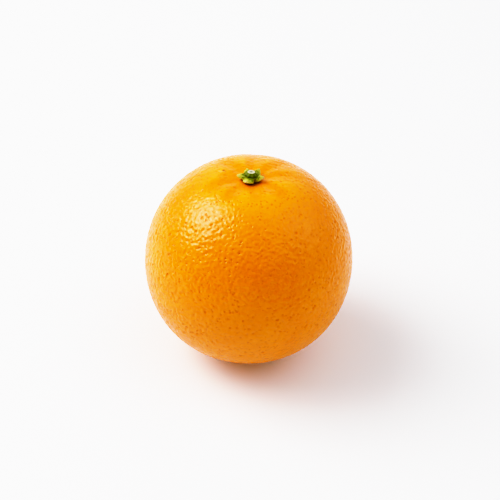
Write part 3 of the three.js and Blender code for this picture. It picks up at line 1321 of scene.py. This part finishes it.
@dataclass(frozen=True)
class PaleFloor:
    """A seamless white paper floor, matt. It gives a soft warm glow back to the fruit's underside."""

    dull: str = "#f1f1f2"
    pale: str = "#f4f4f4"
    clouds: float = 100 / 3  # dull and pale patches from one side of the floor to the other
    half_size: float = 4.0
    drop: float = 0.00002
    roughness: float = 0.9
    specular: float = 0.2

    def build(self) -> bpy.types.Object:
        """Lays the floor just under the fruit.

        Returns:
            The floor.
        """
        material, tree = empty_material("white_paper")
        clouds = add_node(tree, "ShaderNodeTexNoise", {"Scale": self.clouds, "Detail": 2.0}).outputs["Fac"]
        shader = {
            "Roughness": self.roughness,
            "Specular IOR Level": self.specular,
            "Base Color": blend(tree, clouds, self.dull, self.pale),
        }
        show_surface(tree, shader)
        mesh = bpy.data.meshes.new("floor")
        reach = self.half_size
        corners = [(-reach, -reach), (reach, -reach), (reach, reach), (-reach, reach)]
        mesh.from_pydata([(x, y, -self.drop) for x, y in corners], [], [(0, 1, 2, 3)])
        mesh.materials.append(material)
        floor = bpy.data.objects.new("floor", mesh)
        bpy.context.scene.collection.objects.link(floor)
        return floor


@dataclass(frozen=True)
class LitWall:
    """A broad patch of lit wall, brightest in its middle, as seen from the fruit, in degrees."""

    azimuth: float
    elevation: float
    radiance: float


@dataclass(frozen=True)
class WhiteWalls:
    """The studio's white walls, far from the fruit. Their soft light gives the peel its broad, even sheen."""

    lit: tuple[LitWall, ...] = (
        LitWall(azimuth=0, elevation=20, radiance=1.1),
        LitWall(azimuth=0, elevation=50, radiance=1.7),
        LitWall(azimuth=45, elevation=15, radiance=0.51),
        LitWall(azimuth=90, elevation=15, radiance=1.43),
        LitWall(azimuth=135, elevation=15, radiance=0.41),
        LitWall(azimuth=180, elevation=15, radiance=0.4),
        LitWall(azimuth=180, elevation=50, radiance=0.7),
        LitWall(azimuth=225, elevation=55, radiance=0.5),
        LitWall(azimuth=270, elevation=60, radiance=0.2),
        LitWall(azimuth=315, elevation=50, radiance=0.3),
    )
    sharpness: float = 6.0
    colour: str = "#fbfcff"
    seen_radiance: float = 1.3

    def build(self) -> bpy.types.World:
        """Builds the walls as the world round the scene.

        Returns:
            The world.
        """
        world = bpy.data.worlds.new("white_walls")
        world.use_nodes = True
        tree = world.node_tree
        tree.nodes.clear()
        outward = add_node(tree, "ShaderNodeTexCoord").outputs["Generated"]
        total: Socket | float = 0.0
        for wall in self.lit:
            middle = toward(wall.azimuth, wall.elevation)
            facing = vector_math(tree, "DOT_PRODUCT", outward, middle, result="Value")
            fading = calculate(tree, "POWER", calculate(tree, "MAXIMUM", facing, 0.0), self.sharpness)
            total = calculate(tree, "MULTIPLY_ADD", fading, wall.radiance, total)
        colour = linear(self.colour)
        lighting, seen = (
            add_node(tree, "ShaderNodeBackground", {"Color": colour, "Strength": strength}).outputs[0]
            for strength in (total, self.seen_radiance)
        )
        looked_at = add_node(tree, "ShaderNodeLightPath").outputs["Is Camera Ray"]
        walls = add_node(tree, "ShaderNodeMixShader", {0: looked_at, 1: lighting, 2: seen})
        add_node(tree, "ShaderNodeOutputWorld", {"Surface": walls.outputs[0]})
        return world


@dataclass(frozen=True)
class Studio:
    """The room: a softbox high at the left, and softly lit white walls at both sides and behind."""

    key: tuple[Softbox, ...] = (
        Softbox("key_softbox", azimuth=170, elevation=46, distance=1.0, size=0.88, radiance=4.4),
        Softbox("key_core", azimuth=170, elevation=46, distance=0.98, size=0.48, radiance=5.6),
    )
    walls: WhiteWalls = WhiteWalls()
    floor: PaleFloor = PaleFloor()
    tone_black: tuple[float, float, float] = (0.0, 0.0, 0.068)
    tone_white: float = 2.0
    tone_stops: tuple[tuple[float, float], ...] = (
        (0.03, 0.015),
        (0.075, 0.062),
        (0.15, 0.19),
        (0.25, 0.407),
        (0.4, 0.69),
        (0.6, 0.894),
        (1.0, 0.963),
    )
    blue_stops: tuple[tuple[float, float], ...] = (
        (0.05, 0.05),
        (0.1, 0.11),
        (0.2, 0.225),
        (0.4, 0.42),
        (0.6, 0.61),
    )

    def build(self, target: Vector) -> None:
        """Lights the scene.

        Args:
            target: The fruit's centre, in metres.
        """
        for softbox in self.key:
            softbox.build(target)
        self.floor.build()
        bpy.context.scene.world = self.walls.build()
        self._tone()

    def _tone(self) -> None:
        """Rolls the highlights off softly, as a camera does, and gives the blue its own faint curve."""
        view = bpy.context.scene.view_settings
        view.view_transform = "Standard"
        view.look = "None"
        view.use_curve_mapping = True
        mapping = view.curve_mapping
        mapping.black_level = self.tone_black
        mapping.white_level = (self.tone_white,) * 3
        _, _, blue, every_colour = mapping.curves
        for place, value in self.tone_stops[:-1]:
            every_colour.points.new(place, value)
        every_colour.points[-1].location = self.tone_stops[-1]
        for place, value in self.blue_stops:
            blue.points.new(place, value)
        mapping.update()


def main() -> None:
    """Builds the camera, the studio and the orange's pieces in order."""
    logging.basicConfig(level=logging.INFO, format="%(message)s")
    calyx_low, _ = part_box(Part.CALYX.value)
    stub_low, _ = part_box(Part.STEM_STUB.value)
    form = FruitForm(seat_height=calyx_low.z / MM)
    centre = Vector((0.0, 0.0, form.centre_height * MM))
    PhotoCamera().build(centre, 0.5 * (form.half_width + form.half_height) * MM)
    Studio().build(centre)
    pieces = [
        Peel(form).build(),
        Calyx(seat_height=calyx_low.z / MM, stub_height=(stub_low.z - calyx_low.z) / MM).build(),
        StemStub(foot_height=stub_low.z / MM).build(),
    ]
    for piece in pieces:
        size = [round(value / MM, 1) for value in piece.dimensions]
        log.info("%s: %d faces, %s mm", piece.name, len(piece.data.polygons), size)


if __name__ == "__main__":
    main()
